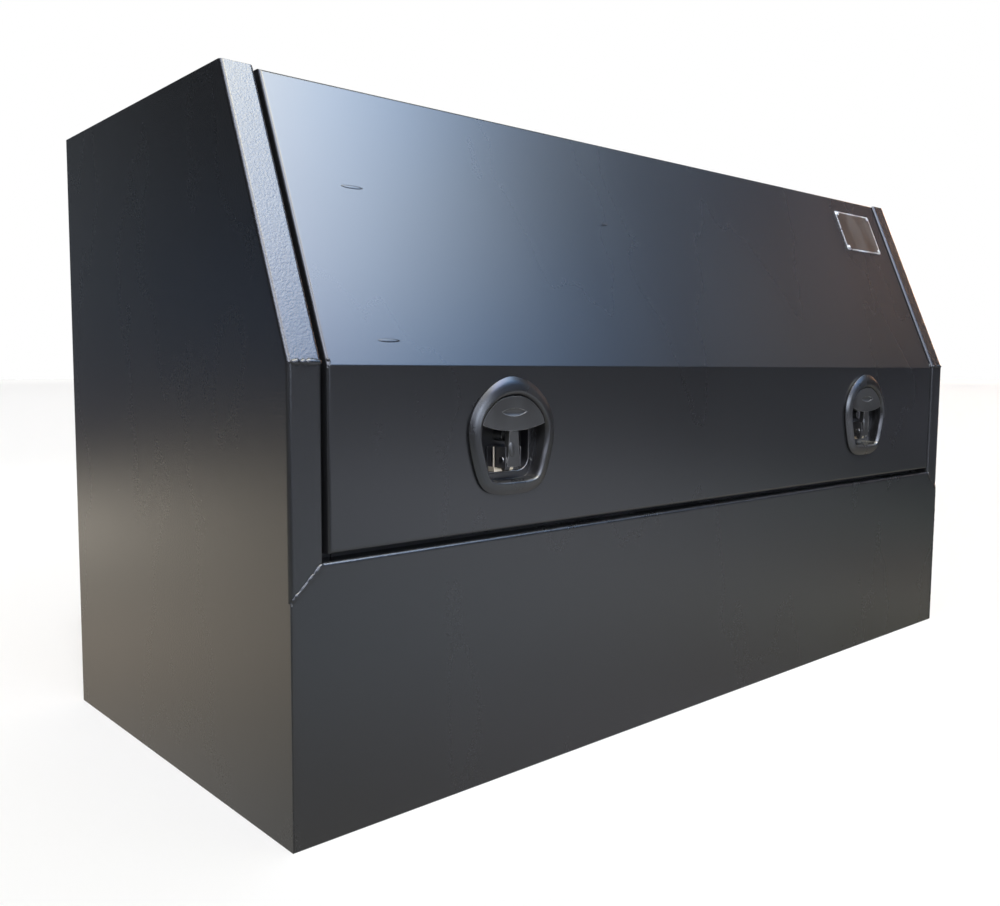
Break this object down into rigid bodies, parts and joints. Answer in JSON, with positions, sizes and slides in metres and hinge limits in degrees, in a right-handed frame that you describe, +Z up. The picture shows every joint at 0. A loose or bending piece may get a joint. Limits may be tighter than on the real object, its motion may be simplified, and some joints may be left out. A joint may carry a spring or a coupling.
{
  "type": "half lid toolbox",
  "caption": "Long folded-sheet box with a sloping upper front; a half lid hinged at the roof, held by gas struts and closed by pull latches.",
  "frame": {"origin": "centre of the footprint, on the ground under the floor panel", "axes": "+X along the box to the right as seen from the front, -Y out of the front, +Z up"},
  "size_m": [1.5, 0.6083, 0.83],
  "materials": {
    "body_coat": "satin black powder coat with a fine texture",
    "lid_coat": "satin black powder coat, smooth",
    "channel_coat": "satin black powder coat",
    "seal_rubber": "matt black sponge rubber",
    "hinge_steel": "brushed stainless steel",
    "rivet_alloy": "plain aluminium",
    "nameplate_metal": "printed aluminium, left blank",
    "bracket_steel": "zinc plated steel",
    "screw_steel": "zinc plated steel",
    "strut_black": "gloss black paint",
    "rod_chrome": "hard chrome",
    "latch_black": "satin black moulding",
    "handle_black": "satin black painted die casting",
    "gasket_rubber": "matt black rubber",
    "dish_black": "black painted pressing",
    "zinc_steel": "bright zinc plated steel",
    "lock_metal": "dark nickel plated"
  },
  "bodies": {
    "box": {"side_panel_left": "body_coat", "side_panel_right": "body_coat", "back_panel": "body_coat", "floor_panel": "body_coat", "roof_panel": "body_coat", "lower_front_panel": "body_coat", "door_channel_left": "channel_coat", "door_channel_right": "channel_coat", "door_channel_sill": "channel_coat", "door_channel_header": "channel_coat", "door_seal": "seal_rubber", "hinge_fixed_leaf": "hinge_steel", "hinge_pin": "hinge_steel", "hinge_fixed_rivets": "rivet_alloy", "strut_foot_left": "bracket_steel", "strut_foot_right": "bracket_steel", "keeper_left": "bracket_steel", "keeper_right": "bracket_steel", "keeper_screws": "screw_steel"},
    "lid": {"lid_skin": "lid_coat", "lid_ribs": "channel_coat", "hinge_moving_leaf": "hinge_steel", "hinge_moving_rivets": "rivet_alloy", "nameplate": "nameplate_metal", "nameplate_rivets": "rivet_alloy", "strut_lid_bracket_left": "bracket_steel", "strut_lid_bracket_right": "bracket_steel", "latch_bezel_left": "latch_black", "latch_gasket_left": "gasket_rubber", "latch_pan_left": "dish_black", "latch_yoke_left": "zinc_steel", "latch_pivot_pin_left": "zinc_steel", "latch_back_bracket_left": "zinc_steel", "latch_pawl_pin_left": "zinc_steel", "latch_screws_left": "screw_steel", "latch_lock_barrel_left": "lock_metal", "latch_bezel_right": "latch_black", "latch_gasket_right": "gasket_rubber", "latch_pan_right": "dish_black", "latch_yoke_right": "zinc_steel", "latch_pivot_pin_right": "zinc_steel", "latch_back_bracket_right": "zinc_steel", "latch_pawl_pin_right": "zinc_steel", "latch_screws_right": "screw_steel", "latch_lock_barrel_right": "lock_metal"},
    "handle_left": {"latch_handle_left": "handle_black"},
    "link_left": {"latch_link_left": "zinc_steel"},
    "pawl_left": {"latch_pawl_left": "zinc_steel"},
    "plug_left": {"latch_lock_plug_left": "lock_metal"},
    "cylinder_left": {"strut_cylinder_left": "strut_black"},
    "rod_left": {"strut_rod_left": "rod_chrome"},
    "handle_right": {"latch_handle_right": "handle_black"},
    "link_right": {"latch_link_right": "zinc_steel"},
    "pawl_right": {"latch_pawl_right": "zinc_steel"},
    "plug_right": {"latch_lock_plug_right": "lock_metal"},
    "cylinder_right": {"strut_cylinder_right": "strut_black"},
    "rod_right": {"strut_rod_right": "rod_chrome"}
  },
  "joints": [
    {"name": "lid_hinge", "type": "hinge", "parent": "box", "child": "lid", "pos_m": [0, -0.119, 0.8271], "axis": [-1, 0, 0], "range_deg": [0, 80]},
    {"name": "handle_pull_left", "type": "hinge", "parent": "lid", "child": "handle_left", "pos_m": [-0.4385, -0.297, 0.3915], "axis": [1, 0, 0], "range_deg": [0, 50], "stiffness_Nm_per_rad": 0.6, "springref_deg": -17.19},
    {"name": "link_swing_left", "type": "hinge", "parent": "handle_left", "child": "link_left", "pos_m": [-0.4385, -0.297, 0.3815], "axis": [1, 0, 0], "range_deg": [-50, 0]},
    {"name": "pawl_turn_left", "type": "hinge", "parent": "lid", "child": "pawl_left", "pos_m": [-0.4385, -0.26, 0.3915], "axis": [1, 0, 0], "range_deg": [0, 50]},
    {"name": "key_turn_left", "type": "hinge", "parent": "lid", "child": "plug_left", "pos_m": [-0.4385, -0.291, 0.4215], "axis": [0, 1, 0], "range_deg": [0, 90]},
    {"name": "strut_swing_left", "type": "hinge", "parent": "box", "child": "cylinder_left", "pos_m": [-0.662, -0.1487, 0.3859], "axis": [1, 0, 0], "range_deg": [0, 2.89]},
    {"name": "strut_stroke_left", "type": "slide", "parent": "cylinder_left", "child": "rod_left", "axis": [0, -0.0694, 0.9976], "range_m": [0, 0.121]},
    {"name": "handle_pull_right", "type": "hinge", "parent": "lid", "child": "handle_right", "pos_m": [0.4385, -0.297, 0.3915], "axis": [1, 0, 0], "range_deg": [0, 50], "stiffness_Nm_per_rad": 0.6, "springref_deg": -17.19},
    {"name": "link_swing_right", "type": "hinge", "parent": "handle_right", "child": "link_right", "pos_m": [0.4385, -0.297, 0.3815], "axis": [1, 0, 0], "range_deg": [-50, 0]},
    {"name": "pawl_turn_right", "type": "hinge", "parent": "lid", "child": "pawl_right", "pos_m": [0.4385, -0.26, 0.3915], "axis": [1, 0, 0], "range_deg": [0, 50]},
    {"name": "key_turn_right", "type": "hinge", "parent": "lid", "child": "plug_right", "pos_m": [0.4385, -0.291, 0.4215], "axis": [0, 1, 0], "range_deg": [0, 90]},
    {"name": "strut_swing_right", "type": "hinge", "parent": "box", "child": "cylinder_right", "pos_m": [0.662, -0.1487, 0.3859], "axis": [1, 0, 0], "range_deg": [0, 2.89]},
    {"name": "strut_stroke_right", "type": "slide", "parent": "cylinder_right", "child": "rod_right", "axis": [0, -0.0694, 0.9976], "range_m": [0, 0.121]}
  ],
  "couplings": [
    {"joint": "link_swing_left", "follows": "handle_pull_left", "ratio": -1},
    {"joint": "pawl_turn_left", "follows": "handle_pull_left", "ratio": 1},
    {"joint": "strut_swing_left", "follows": "lid_hinge", "ratio": 0.032354},
    {"joint": "strut_stroke_left", "follows": "lid_hinge", "m_per_rad": 0.085957},
    {"joint": "link_swing_right", "follows": "handle_pull_right", "ratio": -1},
    {"joint": "pawl_turn_right", "follows": "handle_pull_right", "ratio": 1},
    {"joint": "strut_swing_right", "follows": "lid_hinge", "ratio": 0.032354},
    {"joint": "strut_stroke_right", "follows": "lid_hinge", "m_per_rad": 0.085957}
  ]
}
